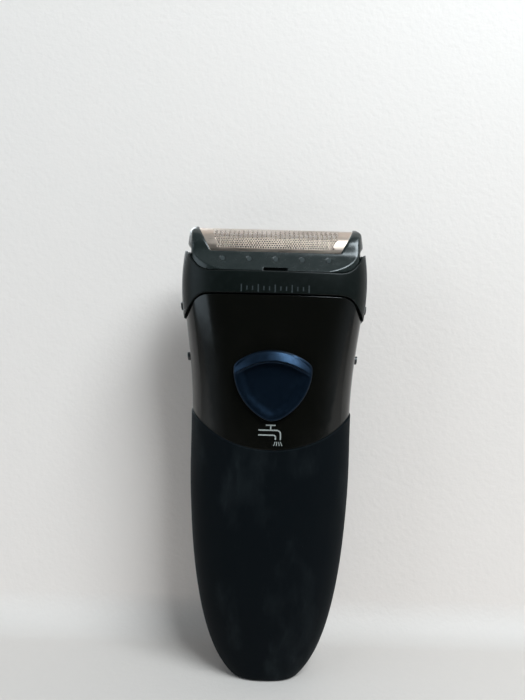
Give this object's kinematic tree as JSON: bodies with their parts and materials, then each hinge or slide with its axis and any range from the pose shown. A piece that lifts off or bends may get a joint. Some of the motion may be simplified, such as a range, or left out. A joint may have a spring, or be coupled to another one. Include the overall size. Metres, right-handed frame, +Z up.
{
  "type": "foil shaver",
  "caption": "Cordless washable foil shaver with soft grip sleeve, glossy covers, sliding power switch, lift-off arched foil head and rear pop-up trimmer.",
  "frame": {"origin": "centre of the flat foot, on the plane the shaver stands on", "axes": "+Z up towards the foil, front face with the power switch towards -Y, +X to the right seen from the front"},
  "size_m": [0.0575, 0.0384, 0.1352],
  "materials": {
    "grip_sleeve": "soft-touch matte",
    "lap_seal": "matte",
    "front_cover": "high gloss",
    "side_studs": "gloss",
    "rear_cover": "high gloss",
    "cover_screws": "zinc plated",
    "switch_seal": "matte",
    "power_switch": "satin",
    "switch_slider": "moulded",
    "head_ring": "fine satin",
    "release_button": "fine satin",
    "release_spring": "spring temper",
    "foil_frame": "smoked",
    "foil": "fine brushed nickel",
    "foil_stakes": "gloss",
    "cutter_carrier": "moulded",
    "cutter_blades": "ground",
    "blade_rods": "ground",
    "drive_bridge": "moulded",
    "flexure_legs": "moulded",
    "float_spring": "spring temper",
    "drive_seal": "matte",
    "head_deck": "moulded",
    "trimmer_slide": "satin",
    "trimmer_comb": "ground",
    "trimmer_cutter": "ground",
    "trimmer_knob": "gloss",
    "chassis": "moulded",
    "motor_can": "zinc plated",
    "motor_cap": "moulded",
    "motor_terminals": "bright",
    "motor_magnets": "sintered",
    "motor_bush": "sintered",
    "motor_shaft": "ground",
    "motor_armature": "laminated, wound",
    "eccentric": "moulded",
    "motor_screws": "zinc plated",
    "battery_cells": "film sleeve",
    "cell_contacts": "nickel strip",
    "circuit_board": "solder mask",
    "board_components": "moulded",
    "board_screws": "zinc plated",
    "inlet_leads": "insulation",
    "inlet_housing": "moulded",
    "inlet_pins": "bright",
    "inlet_gasket": "matte"
  },
  "bodies": {
    "housing": {"grip_sleeve": "grip_sleeve", "lap_seal": "lap_seal", "front_cover": "front_cover", "side_studs": "side_studs", "rear_cover": "rear_cover", "cover_screws": "cover_screws", "switch_seal": "switch_seal", "head_ring": "head_ring", "release_spring_left": "release_spring", "release_spring_right": "release_spring", "head_deck": "head_deck", "drive_seal": "drive_seal", "chassis": "chassis", "motor_can": "motor_can", "motor_cap": "motor_cap", "motor_terminals": "motor_terminals", "motor_magnets": "motor_magnets", "motor_bush": "motor_bush", "motor_screws": "motor_screws", "battery_cells": "battery_cells", "cell_contacts": "cell_contacts", "circuit_board": "circuit_board", "board_components": "board_components", "board_screws": "board_screws", "inlet_leads": "inlet_leads", "inlet_housing": "inlet_housing", "inlet_pins": "inlet_pins", "inlet_gasket": "inlet_gasket", "flexure_legs": "flexure_legs"},
    "switch": {"power_switch": "power_switch", "switch_slider": "switch_slider"},
    "release_left": {"release_button_left": "release_button"},
    "release_right": {"release_button_right": "release_button"},
    "foil_head": {"foil_frame": "foil_frame", "foil": "foil", "foil_stakes": "foil_stakes"},
    "rotor": {"motor_shaft": "motor_shaft", "motor_armature": "motor_armature", "eccentric": "eccentric"},
    "bridge": {"drive_bridge": "drive_bridge", "float_spring": "float_spring"},
    "cutter": {"cutter_carrier": "cutter_carrier", "cutter_blades": "cutter_blades", "blade_rods": "blade_rods"},
    "trimmer": {"trimmer_slide": "trimmer_slide", "trimmer_comb": "trimmer_comb", "trimmer_knob": "trimmer_knob"},
    "trimmer_blade": {"trimmer_cutter": "trimmer_cutter"}
  },
  "joints": [
    {"name": "switch_slide", "type": "slide", "parent": "housing", "child": "switch", "axis": [0, 0, 1], "range_m": [0, 0.004]},
    {"name": "release_left_press", "type": "slide", "parent": "housing", "child": "release_left", "axis": [1, 0, 0], "range_m": [0, 0.0005], "deforming": ["release_spring_left"]},
    {"name": "release_right_press", "type": "slide", "parent": "housing", "child": "release_right", "axis": [-1, 0, 0], "range_m": [0, 0.0005], "deforming": ["release_spring_right"]},
    {"name": "foil_lift", "type": "slide", "parent": "housing", "child": "foil_head", "axis": [0, 0, 1], "range_m": [0, 0.025]},
    {"name": "motor_spin", "type": "hinge", "parent": "housing", "child": "rotor", "pos_m": [0, 0, 0.09], "axis": [0, 0, 1], "continuous": true},
    {"name": "cutter_stroke", "type": "slide", "parent": "housing", "child": "bridge", "axis": [1, 0, 0], "range_m": [-0.0011, 0.0011], "deforming": ["drive_seal", "flexure_legs"]},
    {"name": "cutter_float", "type": "slide", "parent": "bridge", "child": "cutter", "axis": [0, 0, -1], "range_m": [0, 0.0015], "deforming": ["float_spring"]},
    {"name": "trimmer_raise", "type": "slide", "parent": "housing", "child": "trimmer", "axis": [0, 0, 1], "range_m": [0, 0.012]},
    {"name": "trimmer_stroke", "type": "slide", "parent": "trimmer", "child": "trimmer_blade", "axis": [1, 0, 0], "range_m": [-0.0011, 0.0011]}
  ],
  "couplings": [
    {"joint": "trimmer_stroke", "follows": "cutter_stroke", "ratio": 1}
  ]
}
